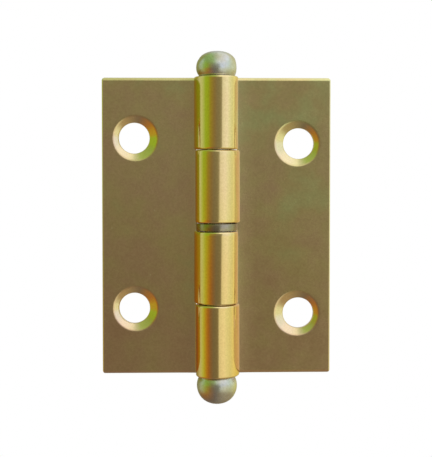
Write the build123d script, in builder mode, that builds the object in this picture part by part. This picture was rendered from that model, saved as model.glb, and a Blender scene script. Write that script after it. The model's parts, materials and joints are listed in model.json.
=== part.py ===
from build123d import *

import math
import os

# Butt hinge, 50 mm tall, shown opened flat: two pressed steel leaves whose edges are rolled into
# knuckles round one pin, a loose ring between the two middle knuckles, and a ball at each end.
# Millimetres. The pin's axis is Z through the origin, at mid-height. The leaves reach out along X.
# Their plates lie on the +Y side of the axis, flush with the back of the barrel, and the countersunk
# faces look to -Y.

# ---- driving dimensions ----
leaf_height = 50.0  # along the pin, over the knuckles
open_width = 38.6  # over both leaves, opened flat
sheet = 1.5  # thickness of the steel strip
pin_diameter = 4.0
pin_clearance = 0.05  # radial, between the pin and all that turns on it

knuckle_gap = 0.1  # between two knuckles that face each other
ring_thickness = 1.2
ring_gap = 0.1  # on each side of the ring
ring_step = 0.1  # how far the ring sits inside the barrel's outside

tail_relax = 0.85  # how much wider than the barrel the last, looser part of the roll is bent
tail_start = 45.0  # degrees past the front of the barrel where that part begins
seam_gap = 0.1  # between the end of the roll and the plate's front face
notch_cover = 0.1  # how far the barrel overlaps the cut-outs' edges, seen from the front

screw_hole = 5.2  # diameter
countersink = 7.5  # diameter at the front face
countersink_angle = 120.0
countersink_drift = 0.25  # how far the countersinks sit off the holes, towards the pin
hole_to_edge = 5.4  # from a hole's centre to the leaf's free edge
hole_spacing = 28.8  # between the two holes of a leaf, along the pin
hole_shift = 0.45  # both holes of a leaf sit this far towards its end knuckle

upper_ball_height = 4.1  # from its seat on the knuckle to its top
lower_ball_height = 4.6  # the same, on the pressed-on ball
ball_step = 0.2  # how far the balls sit inside the barrel's outside
ball_seat = 1.0  # width of the flat that faces the knuckle, outside the pin
ball_gap = 0.1  # between ball and knuckle
spigot_diameter = 3.0  # the pin's thinner end, inside the lower ball
spigot_length = 2.6
spigot_end_gap = 0.2  # air past the spigot in the ball's blind hole

edge_roll = 0.5  # rounded front edges, from the press tool
edge_round = 0.3  # tumbled back edges and barrel edges
corner_round = 0.6  # the plates' corners, seen from the front
notch_round = 0.3  # inner corners of the cut-outs
notch_edge = 0.12  # broken front edges round the cut-outs
ring_round = 0.12
spigot_chamfer = 0.3

# ---- derived sizes ----
pin_radius = pin_diameter / 2
bore_radius = pin_radius + pin_clearance
barrel_radius = bore_radius + sheet
front_y = bore_radius  # the plates' front face
leaf_reach = open_width / 2
notch_x = barrel_radius - notch_cover  # the cut-outs' edges, from the pin's axis

ring_space = ring_thickness + 2 * ring_gap
knuckle_length = (leaf_height - ring_space - 2 * knuckle_gap) / 4
end_knuckle_z = leaf_height / 2 - knuckle_length  # lower end of the left leaf's end knuckle
inner_knuckle_z = -ring_space / 2 - knuckle_length  # lower end of its inner knuckle

ring_radius = barrel_radius - ring_step
ball_radius = barrel_radius - ball_step
ball_seat_radius = pin_radius + ball_seat
ball_seat_z = leaf_height / 2 + ball_gap
ball_seat_angle = -math.degrees(math.acos(ball_seat_radius / ball_radius))
ball_arc = 90 - ball_seat_angle  # degrees of the ellipse, from seat to top
spigot_radius = spigot_diameter / 2
spigot_end_z = ball_seat_z + spigot_length


def roll_outline():
    """The rolled edge seen along the pin: the plate's last stretch, the barrel and its looser tail."""
    tail_angle = -90.0 - tail_start  # where the tail begins, from +X about Z
    around = tail_angle - 90.0  # negative, because the roll runs clockwise from the barrel's back
    tail_centre = Vector(tail_relax, 0).rotate(Axis.Z, tail_angle + 180)
    tail_radius = barrel_radius + tail_relax
    rise = (front_y - seam_gap - tail_centre.Y) / tail_radius
    along_tail = -180.0 - math.degrees(math.asin(rise)) - tail_angle
    with BuildLine() as outline:
        Line((-notch_x, front_y), (-notch_x, barrel_radius))
        Line((-notch_x, barrel_radius), (0, barrel_radius))
        CenterArc((0, 0), barrel_radius, 90, around)
        outer_tail = CenterArc(tail_centre, tail_radius, tail_angle, along_tail)
        inner_tail = CenterArc(tail_centre, tail_radius - sheet, tail_angle, along_tail)
        Line(outer_tail @ 1, inner_tail @ 1)
        CenterArc((0, 0), bore_radius, 90, around)
        Line((0, front_y), (-notch_x, front_y))
    return outline.line


def plate_rim(faces):
    """The edges round one large face of the plate, without those where it runs on into the rolls."""
    rim = faces.sort_by(SortBy.AREA)[-1].outer_wire().edges()
    return rim - rim.filter_by(Axis.Z).group_by(Axis.X)[-1]


# ---- left leaf: one strip, with an end knuckle at the top and an inner one below the ring ----
front_plane = Plane.XZ.offset(-front_y)  # its normal points to -Y, out of the countersunk face

with BuildPart() as left_leaf:
    with BuildSketch(front_plane):
        with Locations((-leaf_reach, 0)):
            Rectangle(leaf_reach - notch_x, leaf_height, align=(Align.MIN, Align.CENTER))
    extrude(amount=-sheet)
    for knuckle_z in (end_knuckle_z, inner_knuckle_z):
        with BuildSketch(Plane.XY.offset(knuckle_z)):
            add(roll_outline())
            make_face()
        extrude(amount=knuckle_length)

    fillet(left_leaf.edges().filter_by(Axis.Y).group_by(Axis.X)[0], corner_round)
    fillet(left_leaf.edges().filter_by(Axis.Y).group_by(Axis.X)[-1], notch_round)
    rim = plate_rim(left_leaf.faces().filter_by(Axis.Y).group_by(Axis.Y)[0])
    fillet(rim.group_by(Axis.Z)[0] + rim.group_by(Axis.Z)[-1] + rim.group_by(Axis.X)[0], edge_roll)
    rim = plate_rim(left_leaf.faces().filter_by(Axis.Y).group_by(Axis.Y)[0])
    fillet(rim.filter_by_position(Axis.X, -notch_x, 0), notch_edge)
    fillet(plate_rim(left_leaf.faces().filter_by(Axis.Y).group_by(Axis.Y)[-1]), edge_round)

    # The countersink's cone runs the sheet's whole thickness, so that it meets the hole all round.
    cone_end_radius = countersink / 2 - sheet * math.tan(math.radians(countersink_angle / 2))
    with Locations(front_plane):
        with Locations((hole_to_edge - leaf_reach, hole_shift)):
            with GridLocations(0, hole_spacing, 1, 2):
                Hole(screw_hole / 2)
        with Locations((hole_to_edge - leaf_reach + countersink_drift, hole_shift)):
            with GridLocations(0, hole_spacing, 1, 2):
                Cone(
                    cone_end_radius,
                    countersink / 2,
                    sheet,
                    align=(Align.CENTER, Align.CENTER, Align.MAX),
                    mode=Mode.SUBTRACT,
                )

# ---- right leaf: the same pressing, turned end for end ----
with BuildPart() as right_leaf:
    add(left_leaf.part, rotation=(0, 180, 0))

# ---- ring between the inner knuckles ----
with BuildPart() as spacer_ring:
    with BuildSketch(Plane.XY.offset(-ring_thickness / 2)):
        Circle(ring_radius)
        Circle(bore_radius, mode=Mode.SUBTRACT)
    extrude(amount=ring_thickness)
    fillet(spacer_ring.edges().filter_by(GeomType.CIRCLE), ring_round)


def ball_section(height, inside):
    """Half a ball's section, an ellipse cut off at its seat, with its top towards -Y.

    The ellipse's half height follows from the ball's height and seat. The points inside are the
    section's corners at the pin.
    """
    half_height = height / (1 + math.sqrt(1 - (ball_seat_radius / ball_radius) ** 2))
    top_z = ball_seat_z + height
    with BuildLine() as outline:
        Polyline((0, -top_z), *inside, (ball_seat_radius, -ball_seat_z))
        EllipticalCenterArc((0, half_height - top_z), ball_radius, half_height, -90, arc_size=ball_arc)
    return outline.line


# ---- pin: the upper ball is formed on it, and its lower end is a spigot for the other one ----
with BuildPart() as hinge_pin:
    with BuildSketch(Plane.XY.offset(-spigot_end_z)):
        Circle(spigot_radius)
    extrude(amount=spigot_length)
    chamfer(hinge_pin.edges().group_by(Axis.Z)[0], spigot_chamfer)
    with BuildSketch(Plane.XY.offset(-ball_seat_z)):
        Circle(pin_radius)
    extrude(amount=2 * ball_seat_z)
    with BuildSketch(-Plane.XZ):
        add(ball_section(upper_ball_height, [(0, -ball_seat_z)]))
        make_face()
    revolve(axis=Axis.Z)

# ---- lower ball: pressed on the spigot, against the pin's shoulder ----
hole_end_z = spigot_end_z + spigot_end_gap
with BuildPart() as lower_ball:
    with BuildSketch(Plane.XZ):
        blind_hole = [(0, -hole_end_z), (spigot_radius, -hole_end_z), (spigot_radius, -ball_seat_z)]
        add(ball_section(lower_ball_height, blind_hole))
        make_face()
    revolve(axis=Axis.Z)

os.makedirs("parts", exist_ok=True)

left_leaf.part.label = "left_leaf"
export_step(left_leaf.part, "parts/left_leaf.step")
right_leaf.part.label = "right_leaf"
export_step(right_leaf.part, "parts/right_leaf.step")
spacer_ring.part.label = "spacer_ring"
export_step(spacer_ring.part, "parts/spacer_ring.step")
hinge_pin.part.label = "hinge_pin"
export_step(hinge_pin.part, "parts/hinge_pin.step")
lower_ball.part.label = "lower_ball"
export_step(lower_ball.part, "parts/lower_ball.step")
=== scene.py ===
import json
import math

import bpy
import numpy as np
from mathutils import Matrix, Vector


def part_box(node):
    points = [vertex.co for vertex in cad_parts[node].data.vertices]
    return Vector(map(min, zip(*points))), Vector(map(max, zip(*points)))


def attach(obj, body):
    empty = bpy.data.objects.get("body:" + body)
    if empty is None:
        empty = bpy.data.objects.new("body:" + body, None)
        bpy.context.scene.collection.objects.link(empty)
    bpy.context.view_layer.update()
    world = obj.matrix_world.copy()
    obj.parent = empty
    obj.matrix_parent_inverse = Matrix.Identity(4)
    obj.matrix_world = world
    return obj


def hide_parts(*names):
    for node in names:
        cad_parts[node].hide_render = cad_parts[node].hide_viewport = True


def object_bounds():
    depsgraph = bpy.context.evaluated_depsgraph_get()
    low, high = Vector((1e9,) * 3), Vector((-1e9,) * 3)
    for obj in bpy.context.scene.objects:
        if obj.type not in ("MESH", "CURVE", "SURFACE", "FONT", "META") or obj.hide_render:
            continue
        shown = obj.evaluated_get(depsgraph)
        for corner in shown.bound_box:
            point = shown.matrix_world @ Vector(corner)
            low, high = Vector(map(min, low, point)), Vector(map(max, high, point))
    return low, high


# A small steel butt hinge, laid open: two yellow chromated leaves rolled round a bright zinc pin with
# a ball at each end and a loose ring between the middle knuckles.
# Lengths are millimetres in the shape functions and become metres where a mesh is made.
# Z runs up the pin's axis, X across the leaves, and -Y out of the countersunk faces.

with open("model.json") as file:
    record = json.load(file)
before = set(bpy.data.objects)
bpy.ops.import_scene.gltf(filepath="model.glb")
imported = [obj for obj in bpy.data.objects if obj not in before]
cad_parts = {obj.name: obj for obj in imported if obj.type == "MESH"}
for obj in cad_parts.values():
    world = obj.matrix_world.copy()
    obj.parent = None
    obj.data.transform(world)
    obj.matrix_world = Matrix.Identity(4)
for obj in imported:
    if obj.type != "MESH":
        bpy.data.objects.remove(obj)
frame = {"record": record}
cad_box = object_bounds()
MM = 0.001


def box_mm(node):
    """A CAD node's lowest and highest corner in millimetres."""
    low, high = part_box(node)
    return np.array(low) / MM, np.array(high) / MM


# ---- sizes of the hinge, from the frame's boxes and mounts ----
leaf_low, leaf_high = box_mm("left_leaf")
ring_low, ring_high = box_mm("spacer_ring")
ball_low, ball_high = box_mm("lower_ball")
pin_low, pin_high = box_mm("hinge_pin")
screw_holes = next(mount for mount in frame["record"]["mounts"] if mount["name"] == "left_screw_holes")

LEAF_REACH = -leaf_low[0]
HALF_HEIGHT = leaf_high[2]
BARREL_RADIUS = leaf_high[0]
RING_RADIUS = ring_high[0]
HALF_RING = (ring_high[2] - ring_low[2]) / 2
BALL_RADIUS = ball_high[0]
BALL_SEAT_Z = -ball_high[2]
SPIGOT_END_Z = -pin_low[2]
HOLE_RADIUS = screw_holes["dims"]["hole_r_mm"]
HOLE_SPACING = screw_holes["dims"]["spacing_y_mm"]
HOLE_U = LEAF_REACH + screw_holes["pos_m"][0] / MM  # from the leaf's free edge
HOLE_SHIFT = screw_holes["pos_m"][2] / MM
HOLE_HEIGHTS = (HOLE_SHIFT + HOLE_SPACING / 2, HOLE_SHIFT - HOLE_SPACING / 2)

# ---- sizes that the CAD model has and the frame doesn't hold ----
SHEET = 1.5
PIN_CLEARANCE = 0.05
NOTCH_COVER = 0.1  # how far the barrel overlaps the cut-outs' edges, seen from the front
KNUCKLE_GAP = 0.1
RING_GAP = 0.1
TAIL_RELAX = 0.85  # how much wider than the barrel the roll's last part is bent
TAIL_START = math.radians(45)  # past the front of the barrel
SEAM_GAP = 0.1  # between the end of the roll and the plate's front face
COUNTERSINK_RADIUS = 3.75
COUNTERSINK_ANGLE = math.radians(120)
COUNTERSINK_DRIFT = 0.25  # off the hole, towards the pin
EDGE_ROLL = 0.5  # rounded front edges
EDGE_ROUND = 0.3  # rounded back edges
NOTCH_EDGE = 0.12  # front edges round the cut-outs
CORNER_ROUND = 0.6
RING_ROUND = 0.12
BALL_SEAT_RADIUS = 3.0
SPIGOT_RADIUS = 1.5
SPIGOT_CHAMFER = 0.3
SPIGOT_END_GAP = 0.2

# ---- sizes that only this model has ----
SIDE_ROLL = 0.2  # the free edge's rounding, where the ends have EDGE_ROLL
HOLE_EDGE = 0.1
TAIL_EDGE = 0.15
SINK_EASE = 0.25  # how far the countersink's rim is eased to each side
PUNCH_FILLET = 0.4  # in the cut-out's corner beside the ring
WAVE_COUNT = 5
WAVE_DEPTH = 0.004
WAVE_LENGTHS = (9, 24)
BEND_CROWN = 0.16  # the front face's rise at the bend
CROWN_REACH = 3.5  # how far into the plate the rise begins
CROWN_FADE = 1.5  # how far past the cut-out's edge it is gone again
KNUCKLE_OVAL = 0.12  # how far the barrel's outside is out of round
BORE_OVAL = 0.2  # the bore's share of that
OVAL_START = 0.8  # radians of roll over which it sets in
OVAL_TWIST = 0.3  # radians, the most that it turns along a knuckle
END_SKEW = 0.04  # how far a knuckle's end stands out at the back
SKEW_REACH = 1.0  # how far along the knuckle that goes
LUMP_COUNT = 6  # waves on a turned piece
NUDGE = 0.01  # a step off an edge, so that a point falls on one side of it

COUNTERSINK_SLOPE = math.tan(math.pi / 2 - COUNTERSINK_ANGLE / 2)
BORE_RADIUS = BARREL_RADIUS - SHEET
PIN_RADIUS = BORE_RADIUS - PIN_CLEARANCE
BLIND_HOLE_END_Z = SPIGOT_END_Z + SPIGOT_END_GAP
RING_SPACE = 2 * (HALF_RING + RING_GAP)
KNUCKLE_LENGTH = (2 * HALF_HEIGHT - RING_SPACE - 2 * KNUCKLE_GAP) / 4
END_KNUCKLE = (HALF_HEIGHT - KNUCKLE_LENGTH, HALF_HEIGHT)  # the left leaf's, from z to z
INNER_KNUCKLE = (-RING_SPACE / 2 - KNUCKLE_LENGTH, -RING_SPACE / 2)

# Along the strip, u runs from the leaf's free edge over the plate and round the roll's outside.
NOTCH_U = LEAF_REACH - BARREL_RADIUS + NOTCH_COVER
BEND_U = LEAF_REACH
TAIL_U = BEND_U + BARREL_RADIUS * (math.pi + TAIL_START)
TAIL_RADIUS = BARREL_RADIUS + TAIL_RELAX
TAIL_CENTRE = TAIL_RELAX * np.array([math.sin(TAIL_START), math.cos(TAIL_START)])
TAIL_RISE = math.asin((BORE_RADIUS - SEAM_GAP - TAIL_CENTRE[1]) / TAIL_RADIUS)
END_U = TAIL_U + TAIL_RADIUS * (math.pi / 2 - TAIL_START + TAIL_RISE)

# ---- meshes ----
SHARP_ANGLE = math.radians(40)
UV_UNIT = 100.0  # millimetres of strip in one unit of the UV map
HOLE_BLOCK = 4.6  # half the side of the square of plate that is gridded round each hole
EDGE_SHINE = 0.35  # how far in from an edge its paler film reaches: worn film and a painted highlight
HOLE_DULLED = 0.2  # a hole's rim counts as this much further in
SINK_SHINE = 0.6  # how much of the edges' pale film the countersinks get, as a painted highlight on their walls


def enclosed(points, faces):
    """The volume that the faces enclose, negative where they are turned inward."""
    corner, second, third = (points[faces[:, k]] for k in (0, 1, 2))
    fans = [(corner, second, third)]
    if faces.shape[1] == 4:
        fans.append((corner, third, points[faces[:, 3]]))
    return sum(np.einsum("ij,ij->", a, np.cross(b, c)) for a, b, c in fans)


def make_piece(name, points, face_groups, node, body, finish, strip=None, edge=None):
    """One closed mesh in place of a CAD node. Points are in mm, and strip and edge are per point."""
    volume = sum(enclosed(points, faces) for faces in face_groups)
    faces = [face for group in face_groups for face in (group if volume > 0 else group[:, ::-1]).tolist()]
    mesh = bpy.data.meshes.new(name)
    mesh.from_pydata((points * MM).tolist(), [], faces)
    mesh.polygons.foreach_set("use_smooth", np.ones(len(faces), bool))
    mesh.set_sharp_from_angle(angle=SHARP_ANGLE)
    corners = np.empty(len(mesh.loops), np.int32)
    mesh.loops.foreach_get("vertex_index", corners)
    if strip is not None:
        layer = mesh.uv_layers.new(name="strip")
        layer.uv.foreach_set("vector", (strip[corners] / UV_UNIT).astype(np.float32).ravel())
    if edge is not None:
        mesh.attributes.new("edge", "FLOAT", "POINT").data.foreach_set("value", edge.astype(np.float32))
    mesh.materials.append(finish)
    mesh.update()
    piece = bpy.data.objects.new(name, mesh)
    bpy.context.scene.collection.objects.link(piece)
    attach(piece, body)
    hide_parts(node)
    return piece


# ---- nodes ----
def linear(hex_colour):
    """An sRGB hex colour as the linear RGBA that the nodes take."""
    parts = [int(hex_colour[i : i + 2], 16) / 255 for i in (1, 3, 5)]
    return (*[c / 12.92 if c <= 0.04045 else ((c + 0.055) / 1.055) ** 2.4 for c in parts], 1.0)


def empty_tree(owner):
    """The emptied node tree of a material or world."""
    owner.use_nodes = True
    owner.node_tree.nodes.clear()
    return owner.node_tree


def add_node(tree, kind, inputs=None, **settings):
    """One node with its settings and its input values or links."""
    node = tree.nodes.new(kind)
    for key, value in settings.items():
        setattr(node, key, value)
    for key, value in (inputs or {}).items():
        if isinstance(value, bpy.types.NodeSocket):
            tree.links.new(value, node.inputs[key])
        else:
            node.inputs[key].default_value = value
    return node


def calculate(tree, operation, *values):
    """A sum, a product or the like of two or three values."""
    return add_node(tree, "ShaderNodeMath", dict(enumerate(values)), operation=operation).outputs[0]


def remap(tree, value, low, high, new_low=0.0, new_high=1.0, **settings):
    """A value carried from one range to another and held at its ends."""
    inputs = {0: value, 1: low, 2: high, 3: new_low, 4: new_high}
    return add_node(tree, "ShaderNodeMapRange", inputs, **settings).outputs[0]


def colour_ramp(tree, value, stops):
    """A value's colour between (position, colour) stops, which are given in order."""
    node = add_node(tree, "ShaderNodeValToRGB", {"Fac": value})
    elements = node.color_ramp.elements
    for element, (position, colour) in zip(elements[:2], (stops[0], stops[-1])):
        element.position, element.color = position, linear(colour)
    for position, colour in stops[1:-1]:
        elements.new(position).color = linear(colour)
    return node.outputs["Color"]


def mix_colours(tree, share, first, second, **settings):
    """The first colour, with a share of the second mixed in."""
    inputs = {0: share, 6: first, 7: second}
    return add_node(tree, "ShaderNodeMix", inputs, data_type="RGBA", **settings).outputs[2]


def per_mm(feature):
    """A texture scale, in metres of object space, for features this many millimetres apart."""
    return 1 / (feature * MM)


def noise(tree, place, feature, detail=2.0, roughness=0.5):
    """Noise whose features are this many millimetres apart."""
    inputs = {"Vector": place, "Scale": per_mm(feature), "Detail": detail, "Roughness": roughness}
    return add_node(tree, "ShaderNodeTexNoise", inputs).outputs["Fac"]


def bump(tree, height, depth, **inputs):
    """A bumped normal whose heights span this many millimetres."""
    inputs = {"Height": height, "Strength": 1.0, "Distance": depth * MM, **inputs}
    return add_node(tree, "ShaderNodeBump", inputs).outputs[0]


# ---- materials ----
# The chromate film: its hues by thinness, from rose to green, and the parts that add up to that.
FILM_HUES = ((0.1, "#DDB39C"), (0.38, "#E2C1A2"), (0.6, "#E2CB9E"), (0.9, "#DADCA8"))
FILM_UP = (0.36, 0.64)  # from the hinge's lower end to its upper one
FILM_ACROSS = (-0.05, 0.07)  # from left to right
FILM_CLOUD = 0.3  # up or down, in clouds
CLOUD_SIZE = 7  # mm
# Painted sheen: the barrel's film colour, painted more golden for the gold it reflects at grazing angles.
BARREL_GOLD_SHEEN = "#EACB8E"
BARREL_SHEEN_SHARE = 0.75
# Worn film and painted highlight: the paler colour of the rounded edges and the countersinks.
WORN_FILM_AND_HIGHLIGHT = "#EEE2BC"
WORN_AND_HIGHLIGHT_SHARE = 0.6
BARE_SPECK = "#F7E6C6"
BARE_SPECK_SHARE = 0.55
SPECK_CELL = 4.5  # mm between the specks' places, of which few lie at the surface
SPECK_RADII = (0.035, 0.02)  # in cells: where a speck begins, and where it is whole
# Grains, patches, stains and drawn lines by their size in mm, and bumps by their depth in mm.
PLATING_GRAIN, PLATING_BUMP = 0.32, 0.0009
ZINC_GRAIN, ZINC_BUMP = 0.3, 0.0015
ZINC_STAIN = 2.2
ROUGH_PATCH = 2.5
DRAWN_WIDTH, DRAWN_LENGTH, DRAWN_BUMP = 0.28, 14, 0.002
PLATE_ROUGHNESS = (0.14, 0.2)
BURNISH = 0.06  # how much less rough the barrel is
STAIN_ROUGHNESS = 0.12  # how much rougher zinc is where it is stained


def metal_material(name):
    """A material with its tree, its metal shader and its object coordinates."""
    material = bpy.data.materials.new(name)
    tree = empty_tree(material)
    shader = add_node(tree, "ShaderNodeBsdfPrincipled", {"Metallic": 1.0})
    add_node(tree, "ShaderNodeOutputMaterial", {"Surface": shader.outputs["BSDF"]})
    return material, tree, shader, add_node(tree, "ShaderNodeTexCoord").outputs["Object"]


def grained(tree, colour, grain, dark):
    """A colour multiplied by a grain that runs from a dark shade to white."""
    shade = colour_ramp(tree, grain, ((0.3, dark), (0.7, "#FFFFFF")))
    return mix_colours(tree, 1.0, colour, shade, blend_type="MULTIPLY")


def yellow_chromate_zinc():
    """Cold-rolled steel, zinc plated and dipped in yellow chromate. A gold conversion film whose hue
    drifts between rose and green with its thickness, over a satin, finely grained metal. The barrel's
    film is painted more golden as a painted sheen, and the edges and countersinks paler as a painted
    highlight."""
    material, tree, shader, place = metal_material("yellow_chromate_zinc_on_rolled_steel")
    strip = add_node(tree, "ShaderNodeUVMap", uv_map="strip").outputs["UV"]
    edge = add_node(tree, "ShaderNodeAttribute", attribute_name="edge").outputs["Fac"]

    # The film drained while the hinge hung, so it is thicker and rosier low down and to the left,
    # greener high up and to the right.
    parts = add_node(tree, "ShaderNodeSeparateXYZ", {0: place}).outputs
    across_part = remap(tree, parts["X"], -LEAF_REACH * MM, LEAF_REACH * MM, *FILM_ACROSS)
    up_part = remap(tree, parts["Z"], -HALF_HEIGHT * MM, HALF_HEIGHT * MM, *FILM_UP)
    drained = calculate(tree, "ADD", up_part, across_part)
    cloud = noise(tree, place, CLOUD_SIZE, detail=3.0, roughness=0.6)
    cloud_part = remap(tree, cloud, 0.2, 0.8, -FILM_CLOUD, FILM_CLOUD)
    film = calculate(tree, "ADD", drained, cloud_part)

    # The barrel's film is painted more golden: a painted sheen for the gold its curved surface reflects at
    # grazing angles.
    strip_u = add_node(tree, "ShaderNodeSeparateXYZ", {0: strip}).outputs["X"]
    rolled = remap(tree, strip_u, (BEND_U - 1) / UV_UNIT, (BEND_U + 1) / UV_UNIT)
    painted_sheen_share = calculate(tree, "MULTIPLY", rolled, BARREL_SHEEN_SHARE)
    hue = mix_colours(tree, painted_sheen_share, colour_ramp(tree, film, FILM_HUES), linear(BARREL_GOLD_SHEEN))
    grain = noise(tree, place, PLATING_GRAIN)
    hue = grained(tree, hue, grain, "#F3F1EE")
    # Pressed edges are painted paler: their film is worn thin, and the paleness is also a painted highlight
    # along their rounded rims. The countersinks get the same paleness as a painted highlight.
    hue = mix_colours(tree, calculate(tree, "MULTIPLY", edge, WORN_AND_HIGHLIGHT_SHARE), hue, linear(WORN_FILM_AND_HIGHLIGHT))
    # A few pinhead specks to a leaf where the film didn't take, about 0.3 mm across.
    inputs = {"Vector": place, "Scale": per_mm(SPECK_CELL), "Randomness": 1.0}
    cells = add_node(tree, "ShaderNodeTexVoronoi", inputs).outputs["Distance"]
    speck = remap(tree, cells, *SPECK_RADII, new_high=BARE_SPECK_SHARE)
    hue = mix_colours(tree, speck, hue, linear(BARE_SPECK))
    tree.links.new(hue, shader.inputs["Base Color"])

    # Satin plate, smoother where the rolling tool burnished the barrel.
    plate_rough = remap(tree, noise(tree, place, ROUGH_PATCH), 0.25, 0.75, *PLATE_ROUGHNESS)
    rough = calculate(tree, "ADD", plate_rough, calculate(tree, "MULTIPLY", rolled, -BURNISH))
    tree.links.new(rough, shader.inputs["Roughness"])

    # Bump: the plating's grain everywhere, and fine drawn lines along the pin on the rolled barrel.
    per_line = (UV_UNIT / DRAWN_WIDTH, UV_UNIT / DRAWN_LENGTH, 1.0)
    stretch = add_node(tree, "ShaderNodeMapping", {"Vector": strip, "Scale": per_line})
    inputs = {"Vector": stretch.outputs[0], "Scale": 1.0, "Detail": 2.0, "Roughness": 0.5}
    lines = add_node(tree, "ShaderNodeTexNoise", inputs).outputs["Fac"]
    drawn = calculate(tree, "MULTIPLY", lines, rolled)
    normal = bump(tree, drawn, DRAWN_BUMP, Normal=bump(tree, grain, PLATING_BUMP))
    tree.links.new(normal, shader.inputs["Normal"])
    return material


def bright_zinc(name, clean, stained, smooth):
    """Steel with bright zinc plating and a clear passivate: silver grey, a little dull, with faint
    olive stains where yellow rinse water dried on it. Smooth is its lowest roughness."""
    material, tree, shader, place = metal_material(name)
    stain = noise(tree, place, ZINC_STAIN, detail=3.0, roughness=0.6)
    grain = noise(tree, place, ZINC_GRAIN)
    hue = grained(tree, colour_ramp(tree, stain, ((0.36, clean), (0.68, stained))), grain, "#EDEDED")
    tree.links.new(hue, shader.inputs["Base Color"])
    rough = remap(tree, stain, 0.3, 0.7, smooth, smooth + STAIN_ROUGHNESS)
    tree.links.new(rough, shader.inputs["Roughness"])
    tree.links.new(bump(tree, grain, ZINC_BUMP), shader.inputs["Normal"])
    return material


# ---- the leaves ----
# The leaf's outline in the strip's plan, as segments (u, z) to (u, z) round the cut-outs.
NOTCH_SEGMENTS = (
    ((NOTCH_U, INNER_KNUCKLE[1]), (NOTCH_U, END_KNUCKLE[0])),
    ((NOTCH_U, END_KNUCKLE[0]), (END_U, END_KNUCKLE[0])),
    ((NOTCH_U, INNER_KNUCKLE[1]), (END_U, INNER_KNUCKLE[1])),
    ((NOTCH_U, INNER_KNUCKLE[0]), (END_U, INNER_KNUCKLE[0])),
    ((NOTCH_U, -HALF_HEIGHT), (NOTCH_U, INNER_KNUCKLE[0])),
)
TAIL_SEGMENTS = (
    ((END_U, END_KNUCKLE[0]), (END_U, END_KNUCKLE[1])),
    ((END_U, INNER_KNUCKLE[0]), (END_U, INNER_KNUCKLE[1])),
)


def rounding(radius, steps=6):
    """Distances from an edge that sample its rounding evenly in angle, from the edge inward."""
    return radius * (1 - np.cos(np.linspace(0, math.pi / 2, steps)))


def rounded(distance, radius):
    """How far a rounded edge of this radius falls away at a distance from the edge."""
    inside = np.clip(radius - distance, 0, radius)
    return radius - np.sqrt(radius**2 - inside**2)


def to_segments(plan, segments):
    """Each plan point's distance to the nearest of some segments that run along u or z."""
    nearest = np.full(len(plan), np.inf)
    for start, end in segments:
        gap = np.maximum(np.maximum(np.subtract(start, plan), np.subtract(plan, end)), 0)
        nearest = np.minimum(nearest, np.hypot(gap[:, 0], gap[:, 1]))
    return nearest


def to_outside(plan, side_scale=1.0):
    """Each plan point's distance to the leaf's free edge and ends, with their rounded corners. The
    side scale stretches distances from the free edge."""
    from_edge = plan[:, 0] * side_scale
    from_end = HALF_HEIGHT - np.abs(plan[:, 1])
    corner = CORNER_ROUND - np.hypot(CORNER_ROUND - from_edge, CORNER_ROUND - from_end)
    in_corner = (from_edge < CORNER_ROUND) & (from_end < CORNER_ROUND)
    return np.maximum(np.where(in_corner, corner, np.minimum(from_edge, from_end)), 0)


def round_corners(plan):
    """Squeezes the square grid at the two free corners into quarter discs of the corner's radius."""
    x = np.clip((CORNER_ROUND - plan[:, 0]) / CORNER_ROUND, 0, 1)
    y = np.clip((np.abs(plan[:, 1]) - HALF_HEIGHT + CORNER_ROUND) / CORNER_ROUND, 0, 1)
    u = np.where(x > 0, CORNER_ROUND * (1 - x * np.sqrt(1 - y**2 / 2)), plan[:, 0])
    z = HALF_HEIGHT - CORNER_ROUND * (1 - y * np.sqrt(1 - x**2 / 2))
    return np.stack([u, np.where(y > 0, np.sign(plan[:, 1]) * z, plan[:, 1])], axis=1)


def punch_fillet(plan):
    """How far the cut-out's corner beside the ring is filled on the front face: by PUNCH_FILLET at the
    knuckle, evenly less to half of that at the ring's far face, nothing past its gap, and less into
    the plate. The back face has no fillet, so the cut-out's wall leans there."""
    knuckle_end, gap_end = INNER_KNUCKLE[1], -INNER_KNUCKLE[1]
    heights = [knuckle_end - NUDGE, knuckle_end, HALF_RING, gap_end - NUDGE]
    along_pin = np.interp(plan[:, 1], heights, [0, 1, 0.5, 0])
    into_plate = np.interp(plan[:, 0], [NOTCH_U - EDGE_ROUND, NOTCH_U, NOTCH_U + NUDGE], [0, 1, 0])
    return PUNCH_FILLET * along_pin * into_plate


def stations(parts):
    """A grid's stations: those of all the parts, sorted, without repeats."""
    return np.unique(np.round(np.concatenate([np.ravel(part) for part in parts]), 5))


def strip_grid():
    """The u and z stations of the leaf's grid: close at rounded edges, even elsewhere."""
    edge, notch, tail = rounding(EDGE_ROLL), rounding(EDGE_ROUND), rounding(TAIL_EDGE, 4)
    along_u = [
        rounding(SIDE_ROLL),
        edge,
        [CORNER_ROUND],
        HOLE_U + np.linspace(-HOLE_BLOCK, HOLE_BLOCK, 17),
        np.linspace(HOLE_U + HOLE_BLOCK, NOTCH_U - EDGE_ROUND, 9),
        NOTCH_U - notch,
        np.linspace(NOTCH_U, BEND_U, 8),
        np.linspace(BEND_U, TAIL_U, 65),
        np.linspace(TAIL_U, END_U - TAIL_EDGE, 22),
        END_U - tail,
    ]
    along_z = [
        HALF_HEIGHT - edge,
        edge - HALF_HEIGHT,
        np.linspace(-1, 1, 71) * (HALF_HEIGHT - CORNER_ROUND),
        END_KNUCKLE[0] + notch,
        INNER_KNUCKLE[0] + notch,
        INNER_KNUCKLE[1] - notch,
        [HALF_RING],
        *([height - HOLE_BLOCK, height + HOLE_BLOCK] for height in HOLE_HEIGHTS),
    ]
    return stations(along_u), stations(along_z)


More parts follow.
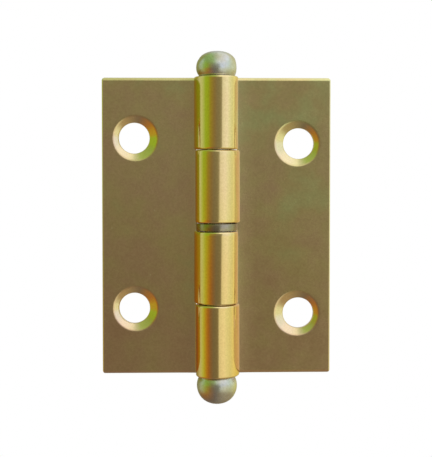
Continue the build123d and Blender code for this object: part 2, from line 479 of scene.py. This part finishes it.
def hole_grid(us, zs, height):
    """A ring-shaped grid from the square block's rim in to one hole. Returns the block's index range,
    its rim's (u, z) index pairs in order, and the plan points of the rings inside it."""
    left, right = np.searchsorted(us, np.round([HOLE_U - HOLE_BLOCK, HOLE_U + HOLE_BLOCK], 5))
    low, high = np.searchsorted(zs, np.round([height - HOLE_BLOCK, height + HOLE_BLOCK], 5))
    rim = [(i, low) for i in range(left, right)] + [(right, j) for j in range(low, high)]
    rim += [(i, high) for i in range(right, left, -1)] + [(left, j) for j in range(high, low, -1)]
    rim = np.array(rim)
    rim_points = np.stack([us[rim[:, 0]], zs[rim[:, 1]]], axis=1)
    centre = np.array([HOLE_U, height])
    outward = rim_points - centre
    outward /= np.linalg.norm(outward, axis=1)[:, None]
    near_hole = HOLE_RADIUS + rounding(HOLE_EDGE, 5)
    near_rim = COUNTERSINK_RADIUS + SINK_EASE * np.linspace(-1, 1, 11)
    radii = np.concatenate([near_hole, np.linspace(near_hole[-1], near_rim[0], 6)[1:-1], near_rim])
    drift = COUNTERSINK_DRIFT * np.clip((radii - HOLE_RADIUS) / (near_rim[0] - HOLE_RADIUS), 0, 1)
    rings = centre + radii[:, None, None] * outward + drift[:, None, None] * np.array([1.0, 0.0])
    spread = np.array([1 / 3, 2 / 3])[:, None, None]
    rings = np.concatenate([rings, rings[-1] * (1 - spread) + rim_points * spread])
    return (left, right, low, high), rim, rings


def leaf_plan():
    """The leaf's plan: its points (u, z) and its quads, with a hole in each hole's ring grid."""
    us, zs = strip_grid()
    points = [np.stack(np.meshgrid(us, zs, indexing="ij"), axis=-1).reshape(-1, 2)]
    mid_u, mid_z = (us[1:] + us[:-1]) / 2, (zs[1:] + zs[:-1]) / 2
    in_knuckle = np.zeros(len(mid_z), bool)
    for low, high in (END_KNUCKLE, INNER_KNUCKLE):
        in_knuckle |= (mid_z > low) & (mid_z < high)
    present = (mid_u < NOTCH_U)[:, None] | in_knuckle[None, :]
    quads = []
    count = len(points[0])
    for height in HOLE_HEIGHTS:
        (left, right, low, high), rim, rings = hole_grid(us, zs, height)
        present[left:right, low:high] = False
        around = rings.shape[1]
        index = count + np.arange(rings.shape[0] * around).reshape(-1, around)
        index = np.concatenate([index, (rim[:, 0] * len(zs) + rim[:, 1])[None, :]])
        following = np.roll(index, -1, axis=1)
        quads.append(np.stack([index[:-1], index[1:], following[1:], following[:-1]], axis=-1).reshape(-1, 4))
        points.append(rings.reshape(-1, 2))
        count += rings.shape[0] * around
    i, j = np.nonzero(present)
    corner = i * len(zs) + j
    quads.append(np.stack([corner, corner + len(zs), corner + len(zs) + 1, corner + 1], axis=1))
    points, quads = np.concatenate(points), np.concatenate(quads)
    used, quads = np.unique(quads, return_inverse=True)
    return round_corners(points[used]), quads.reshape(-1, 4)


def outline_edges(quads):
    """The directed edges that only one quad has."""
    edges = np.concatenate([quads[:, [k, (k + 1) % 4]] for k in range(4)])
    _, first, counts = np.unique(np.sort(edges, axis=1), axis=0, return_index=True, return_counts=True)
    return edges[first[counts == 1]]


def fold(u, lift):
    """Where the strip's point u lies once rolled, seen along the pin. lift is its height in the sheet,
    from the countersunk face to the back. The plate is straight, the barrel is an arc round the pin,
    and the tail is a wider arc that leaves it smoothly."""
    turned = math.pi / 2 - (np.clip(u, BEND_U, TAIL_U) - BEND_U) / BARREL_RADIUS
    turned = turned - np.clip(u - TAIL_U, 0, None) / TAIL_RADIUS
    in_tail = u > TAIL_U
    radius = np.where(in_tail, TAIL_RADIUS, BARREL_RADIUS) - SHEET + lift
    spot = radius[:, None] * np.stack([np.cos(turned), np.sin(turned)], axis=1)
    spot = np.where(in_tail[:, None], spot + TAIL_CENTRE, spot)
    spot[:, 0] += np.minimum(u - BEND_U, 0)
    return spot


def unevenness(u, z, seed, front, leans):
    """What the press and the rolling tool leave: slow waves of up to two hundredths of a millimetre
    over the strip, a parabolic rise of the front face towards the bend, and knuckles out of round.
    Each one's oval stands at its own lean, in degrees, and turns a little along the pin. The front
    face is the roll's inside."""
    draw = np.random.default_rng(seed)
    waves = np.zeros(len(u))
    for _ in range(WAVE_COUNT):
        (way, phase), length = draw.uniform(0, 2 * math.pi, 2), draw.uniform(*WAVE_LENGTHS)
        along = u * math.cos(way) + z * math.sin(way)
        waves += WAVE_DEPTH * np.sin(along * 2 * math.pi / length + phase)
    to_bend = np.interp(u, [NOTCH_U - CROWN_REACH, NOTCH_U, NOTCH_U + CROWN_FADE], [0, 1, 0])
    waves -= BEND_CROWN * to_bend**2 * front
    roll = np.clip((u - BEND_U) / BARREL_RADIUS, 0, None)
    depth = KNUCKLE_OVAL * (BORE_OVAL if front else 1)
    for (low, high), lean in zip((END_KNUCKLE, INNER_KNUCKLE), leans):
        twist = draw.uniform(-OVAL_TWIST, OVAL_TWIST) * (z - low) / (high - low)
        oval = depth * np.sin(2 * roll + math.radians(lean) + twist) * np.clip(roll / OVAL_START, 0, 1)
        waves += np.where((z > low - KNUCKLE_GAP) & (z < high + KNUCKLE_GAP), oval, 0)
    return waves


def skewed(points):
    """Knuckles leave the rolling tool a little skewed. Each end that faces another knuckle or the ring
    stands out by END_SKEW at the hinge's back, and by nothing at its front."""
    behind = np.clip(points[:, 1] / BORE_RADIUS, 0, 1)
    near_pin = points[:, 0] > NOTCH_U - LEAF_REACH - EDGE_ROUND
    shift = np.zeros(len(points))
    for end, way in ((END_KNUCKLE[0], -1), (INNER_KNUCKLE[0], -1), (INNER_KNUCKLE[1], 1)):
        share = 1 - (end - points[:, 2]) * way / SKEW_REACH
        in_reach = (share > 0) & (share <= 1 + NUDGE)
        shift += np.where(in_reach, share * END_SKEW * way, 0)
    return points + np.column_stack([np.zeros((len(points), 2)), shift * behind * near_pin])


def make_leaf(name, node, finish, turned, seed, leans):
    """One pressed leaf: the plan carried to the sheet's two faces, joined round its outline, folded
    into plate and roll, and for the right leaf turned end for end. The leans are its end knuckle's
    and its inner one's."""
    plan, quads = leaf_plan()
    u, z = plan.T
    outside, notch = to_outside(plan), to_segments(plan, NOTCH_SEGMENTS)
    tail = to_segments(plan, TAIL_SEGMENTS)
    # The punch drew the two ends down further than the free edge.
    drawn_down = rounded(to_outside(plan, EDGE_ROLL / SIDE_ROLL), EDGE_ROLL)
    tail_fall = rounded(tail, TAIL_EDGE)
    fall_front = np.maximum(np.maximum(drawn_down, rounded(notch, NOTCH_EDGE)), tail_fall)
    fall_back = np.maximum(rounded(np.minimum(outside, notch), EDGE_ROUND), tail_fall)
    nearest_edge = np.minimum(np.minimum(outside, notch), tail)
    in_sink = np.zeros(len(plan))
    for height in HOLE_HEIGHTS:
        from_hole = np.hypot(u - HOLE_U, z - height) - HOLE_RADIUS
        hole_fall = rounded(np.clip(from_hole, 0, None), HOLE_EDGE)
        into_cone = COUNTERSINK_RADIUS - np.hypot(u - HOLE_U - COUNTERSINK_DRIFT, z - height)
        # The cone falls evenly to the hole, and a parabola eases its rim.
        eased = np.clip(into_cone + SINK_EASE, 0, 2 * SINK_EASE) ** 2 / (4 * SINK_EASE)
        sunk = np.where(into_cone > SINK_EASE, into_cone, eased) * COUNTERSINK_SLOPE
        fall_front = np.maximum(fall_front, sunk + hole_fall)
        fall_back = np.maximum(fall_back, hole_fall)
        nearest_edge = np.minimum(nearest_edge, from_hole + HOLE_DULLED)
        in_sink = np.maximum(in_sink, np.clip(into_cone / SINK_EASE, 0, 1))
    front = fold(u + punch_fillet(plan), fall_front + unevenness(u, z, seed, True, leans))
    back = fold(u, SHEET - fall_back + unevenness(u, z, seed, False, leans))
    points = skewed(np.column_stack([np.concatenate([front, back]), np.tile(z, 2)]))
    if turned:
        points = points * [-1, 1, -1]
    start, end = outline_edges(quads).T
    walls = np.stack([start, start + len(plan), end + len(plan), end], axis=1)
    all_quads = np.concatenate([quads, quads[:, ::-1] + len(plan), walls])
    # Edge paleness: worn film plus a painted highlight on rounded edges; in the countersinks, a painted
    # highlight.
    edge = np.clip(1 - nearest_edge / EDGE_SHINE, 0, 1)
    edge_front = np.maximum(edge, SINK_SHINE * in_sink)
    return make_piece(
        name, points, [all_quads], node, node, finish,
        strip=np.tile(plan, (2, 1)), edge=np.concatenate([edge_front, edge]),
    )


# ---- turned pieces ----
def turned_piece(name, profile, node, body, finish, lumps=0.0, seed=0, steps=128, aside=0.0):
    """A closed surface of revolution round the pin's axis. The profile's (radius, z) points run from
    pole to pole, or round a closed section where its first point isn't on the axis. Lumps are the
    depth of slow waves over a ball, as a share of its radius, and aside moves its widest part this
    far along X."""
    angle = np.linspace(0, 2 * math.pi, steps, endpoint=False)
    has_poles = profile[0, 0] == 0
    rows = profile[1:-1] if has_poles else profile
    radius = rows[:, 0][:, None] * np.ones(steps)
    z = rows[:, 1][:, None] * np.ones(steps)
    draw = np.random.default_rng(seed)
    waves = np.zeros_like(radius)
    for _ in range(LUMP_COUNT):
        round_count, up, shift = draw.integers(1, 5), draw.uniform(0.6, 1.8), draw.uniform(0, 2 * math.pi)
        waves += np.sin(round_count * angle + up * z + shift)
    proud = np.clip((radius - BALL_SEAT_RADIUS) / (BARREL_RADIUS - BALL_SEAT_RADIUS), 0, 1)
    radius = radius * (1 + lumps * waves * proud / LUMP_COUNT)
    x = radius * np.cos(angle) + aside * proud
    points = np.stack([x, radius * np.sin(angle), z], axis=-1).reshape(-1, 3)
    index = np.arange(len(points)).reshape(-1, steps)
    if not has_poles:
        index = np.concatenate([index, index[:1]])
    after = np.roll(index, -1, axis=1)
    groups = [np.stack([index[:-1], index[1:], after[1:], after[:-1]], axis=-1).reshape(-1, 4)]
    if has_poles:
        top, bottom = len(points), len(points) + 1
        points = np.concatenate([points, [[0, 0, profile[0, 1]], [0, 0, profile[-1, 1]]]])
        groups.append(np.stack([np.full(steps, top), index[0], after[0]], axis=1))
        groups.append(np.stack([np.full(steps, bottom), after[-1], index[-1]], axis=1))
    return make_piece(name, points, groups, node, body, finish)


def ball_outline(top_z, seat_z, bluntness, steps=40):
    """Half a flattened ball's outline from its top to its seat: a superellipse above its widest part,
    which is a true ellipse at a bluntness of 2 and fuller above that."""
    waist = math.sqrt(1 - (BALL_SEAT_RADIUS / BALL_RADIUS) ** 2)
    half = abs(top_z - seat_z) / (1 + waist)
    angle = np.linspace(math.pi / 2, -math.asin(waist), steps)
    power = np.where(angle > 0, 2 / bluntness, 1.0)
    radius = BALL_RADIUS * np.cos(angle) ** power
    radius[0] = 0
    rise = half * np.sign(angle) * np.abs(np.sin(angle)) ** power
    return np.column_stack([radius, seat_z + np.sign(top_z) * (half * waist + rise)])


def straight(*corners, step=0.5):
    """A profile's straight stretches, cut into short steps."""
    pieces = [np.array([corners[0]])]
    for start, end in zip(corners, corners[1:]):
        count = max(2, round(math.dist(start, end) / step) + 1)
        pieces.append(np.linspace(start, end, count)[1:])
    return np.concatenate(pieces)


def make_pin(finish):
    """The pin in one profile: its ball, its shank and the spigot at its lower end."""
    shank = straight(
        (BALL_SEAT_RADIUS, BALL_SEAT_Z), (PIN_RADIUS, BALL_SEAT_Z), (PIN_RADIUS, -BALL_SEAT_Z),
        (SPIGOT_RADIUS, -BALL_SEAT_Z), (SPIGOT_RADIUS, SPIGOT_CHAMFER - SPIGOT_END_Z),
        (SPIGOT_RADIUS - SPIGOT_CHAMFER, -SPIGOT_END_Z), (0, -SPIGOT_END_Z),
    )
    ball = ball_outline(pin_high[2], BALL_SEAT_Z, bluntness=2.4)
    profile = np.concatenate([ball, shank[1:]])
    return turned_piece(
        "pin_with_upper_ball", profile, "hinge_pin", "pin", finish, lumps=0.012, seed=3, aside=-0.15
    )


def make_lower_ball(finish):
    """The pressed-on ball, a little taller and less blunt than the formed one, with its blind hole."""
    inside = straight(
        (BALL_SEAT_RADIUS, -BALL_SEAT_Z), (SPIGOT_RADIUS, -BALL_SEAT_Z),
        (SPIGOT_RADIUS, -BLIND_HOLE_END_Z), (0, -BLIND_HOLE_END_Z),
    )
    ball = ball_outline(ball_low[2], -BALL_SEAT_Z, bluntness=2.15)
    profile = np.concatenate([ball, inside[1:]])
    return turned_piece("pressed_lower_ball", profile, "lower_ball", "pin", finish, lumps=0.016, seed=8)


def make_ring(finish):
    """The spacer ring: a flat washer's section with its four edges eased by quarter circles."""
    sweep = np.linspace(0, math.pi / 2, 5)
    corners = []
    sides = ((RING_RADIUS, 1, 1), (BORE_RADIUS, -1, 1), (BORE_RADIUS, -1, -1), (RING_RADIUS, 1, -1))
    for quarter, (radius, outward, upward) in enumerate(sides):
        turn = sweep + quarter * math.pi / 2
        centre = np.array([radius - outward * RING_ROUND, upward * (HALF_RING - RING_ROUND)])
        corners.append(centre + RING_ROUND * np.column_stack([np.cos(turn), np.sin(turn)]))
    return turned_piece("loose_spacer_ring", np.concatenate(corners), "spacer_ring", "ring", finish)


# ---- making the hinge ----
chromate = yellow_chromate_zinc()
zinc = bright_zinc("bright_zinc_on_turned_steel", clean="#CFD0D6", stained="#C6BFB2", smooth=0.24)
# The washer's zinc is darker grey: partly its own duller tone, partly painted shade of its recess between the
# knuckles.
ring_zinc_with_painted_shade = bright_zinc("rubbed_zinc_on_stamped_washer", clean="#A89C90", stained="#988E78", smooth=0.18)
make_leaf("left_pressed_leaf", "left_leaf", chromate, turned=False, seed=11, leans=(158, 160))
make_leaf("right_pressed_leaf", "right_leaf", chromate, turned=True, seed=12, leans=(165, 204))
make_pin(zinc)
make_lower_ball(zinc)
make_ring(ring_zinc_with_painted_shade)

# ---- stage ----
FLOOR_REACH = 1.2  # metres from the middle


def finish_tree(tree, output, lit, shown):
    """Ends a tree with one shader for light and reflections and another for the camera's own view."""
    seen = add_node(tree, "ShaderNodeLightPath").outputs["Is Camera Ray"]
    mix = add_node(tree, "ShaderNodeMixShader", {0: seen, 1: lit.outputs[0], 2: shown.outputs[0]})
    add_node(tree, output, {"Surface": mix.outputs[0]})


def make_floor():
    """A wide pale floor under the lower ball, white to the camera."""
    square = ((-1, -1), (1, -1), (1, 1), (-1, 1))
    corners = [(x * FLOOR_REACH, y * FLOOR_REACH, cad_box[0].z) for x, y in square]
    mesh = bpy.data.meshes.new("pale_floor")
    mesh.from_pydata(corners, [], [(0, 1, 2, 3)])
    material = bpy.data.materials.new("pale_studio_floor")
    tree = empty_tree(material)
    matt = add_node(tree, "ShaderNodeBsdfDiffuse", {"Color": linear("#6E6A60")})
    glow = add_node(tree, "ShaderNodeEmission", {"Color": linear("#FFFFFF"), "Strength": 1.0})
    finish_tree(tree, "ShaderNodeOutputMaterial", matt, glow)
    mesh.materials.append(material)
    floor = bpy.data.objects.new("pale_floor", mesh)
    bpy.context.scene.collection.objects.link(floor)
    # In the photo the hinge has no shadow and mirrors no floor.
    floor.visible_glossy = False
    floor.visible_shadow = False


# ---- light ----
BRIGHTEST = 1.4  # the radiance of white in the room's colours
# The room's colours by azimuth in degrees: 0 is the camera's side and 90 the right.
LEVEL_COLOURS = (
    (-180, "#B4B4AA"), (-150, "#96965C"), (-124, "#8E9440"), (-112, "#B4C4A8"), (-96, "#B4C79A"),
    (-84, "#A2BE74"), (-74, "#8FB43A"), (-56, "#8AA830"), (-44, "#8C8A38"), (-24, "#807550"),
    (-8, "#7A7866"), (8, "#7E806C"), (17, "#8E9284"), (23, "#D2DBDD"), (50, "#E4EEFC"),
    (66, "#DAEAE4"), (88, "#CFDEC0"), (106, "#DEE6C0"), (130, "#D2D29C"), (180, "#B4B4AA"),
)
LOWER_COLOURS = (
    (-180, "#A09A88"), (-150, "#7E7A50"), (-128, "#98945E"), (-112, "#B4B896"), (-94, "#B2C084"),
    (-82, "#ACBC58"), (-70, "#A8A634"), (-56, "#A6822E"), (-44, "#94682E"), (-30, "#7C6448"),
    (-14, "#6E6A58"), (4, "#747058"), (13, "#808066"), (18, "#D2D6BA"), (44, "#E2E6CA"),
    (62, "#D8E2BE"), (84, "#D0D8AA"), (104, "#DCDC9C"), (130, "#D0C870"), (180, "#A09A88"),
)
# Overhead and underfoot, by position from left to right.
SKY_COLOURS = ((0.1, "#84A050"), (0.36, "#98B468"), (0.49, "#C2CCB2"), (0.56, "#E8EEDA"), (0.72, "#F0F4F4"))
GROUND_COLOURS = ((0.1, "#A06A2C"), (0.4, "#6C6256"), (0.75, "#9C8E6C"))
# The heights of a direction between which one set of colours gives way to the next.
LOWER_BAND = (0.04, -0.14)
SKY_BAND = (0.42, 0.72)
GROUND_BAND = (-0.25, -0.65)
CAMERA_LEAN = 0.3  # how much lower the overhead light reaches towards the camera


def round_the_room(tree, azimuth, colours):
    """The room's colour at an azimuth, blended between its stops."""
    turn = remap(tree, azimuth, -math.pi, math.pi)
    return colour_ramp(tree, turn, [((degrees + 180) / 360, colour) for degrees, colour in colours])


def blend(tree, height, band, first, second):
    """One set of the room's colours that gives way to another over a band of heights."""
    share = remap(tree, height, *band, interpolation_type="SMOOTHSTEP")
    return mix_colours(tree, share, first, second)


def make_world():
    """The studio: a big soft white light to the right that wraps overhead, a pale strip and coloured
    card to the left, green at the hinge's level and orange below it, and a dim warm gap where the
    camera stands. The camera sees it as white."""
    world = bpy.data.worlds.new("soft_studio")
    bpy.context.scene.world = world
    tree = empty_tree(world)
    direction = add_node(tree, "ShaderNodeTexCoord").outputs["Generated"]
    parts = add_node(tree, "ShaderNodeSeparateXYZ", {0: direction}).outputs
    toward_camera = calculate(tree, "MULTIPLY", parts["Y"], -1.0)
    azimuth = calculate(tree, "ARCTAN2", parts["X"], toward_camera)
    level = round_the_room(tree, azimuth, LEVEL_COLOURS)
    lower = round_the_room(tree, azimuth, LOWER_COLOURS)
    across = remap(tree, parts["X"], -1.0, 1.0)
    overhead = calculate(tree, "MULTIPLY_ADD", toward_camera, CAMERA_LEAN, parts["Z"])
    room = blend(tree, parts["Z"], LOWER_BAND, level, lower)
    room = blend(tree, overhead, SKY_BAND, room, colour_ramp(tree, across, SKY_COLOURS))
    room = blend(tree, parts["Z"], GROUND_BAND, room, colour_ramp(tree, across, GROUND_COLOURS))
    lit = add_node(tree, "ShaderNodeBackground", {"Color": room, "Strength": BRIGHTEST})
    white = add_node(tree, "ShaderNodeBackground", {"Color": linear("#FFFFFF"), "Strength": 1.0})
    finish_tree(tree, "ShaderNodeOutputWorld", lit, white)


# ---- camera ----
CAMERA_DISTANCE = 172.0  # in front of the pin's axis
CAMERA_HEIGHT = 10.0  # above the hinge's middle
CAMERA_SIDE = -5.0  # to the left of the pin
CAMERA_SHIFT = -0.05  # of the picture's height
VIEW_HEIGHT = 77.1  # what the picture's height takes in at the plates' front faces
AIM_X, AIM_Z = -0.15, -0.4  # what the picture centres on
SENSOR = 36.0


def make_camera():
    """A camera nearly square to the leaves, a little left of and above their middle, turned to it."""
    depth = CAMERA_DISTANCE + BORE_RADIUS
    data = bpy.data.cameras.new("camera")
    data.sensor_width = SENSOR
    data.lens = SENSOR * depth / VIEW_HEIGHT
    data.shift_y = CAMERA_SHIFT
    data.clip_start, data.clip_end = 0.01, 10.0
    camera = bpy.data.objects.new("camera", data)
    bpy.context.scene.collection.objects.link(camera)
    dip = math.atan((CAMERA_HEIGHT - AIM_Z) / depth) - math.atan(-CAMERA_SHIFT * VIEW_HEIGHT / depth)
    camera.location = (CAMERA_SIDE * MM, -CAMERA_DISTANCE * MM, CAMERA_HEIGHT * MM)
    camera.rotation_euler = (math.pi / 2 - dip, 0, math.atan((CAMERA_SIDE - AIM_X) / CAMERA_DISTANCE))
    bpy.context.scene.camera = camera


make_floor()
make_world()
make_camera()

scene = bpy.context.scene
scene.view_settings.view_transform = "Standard"
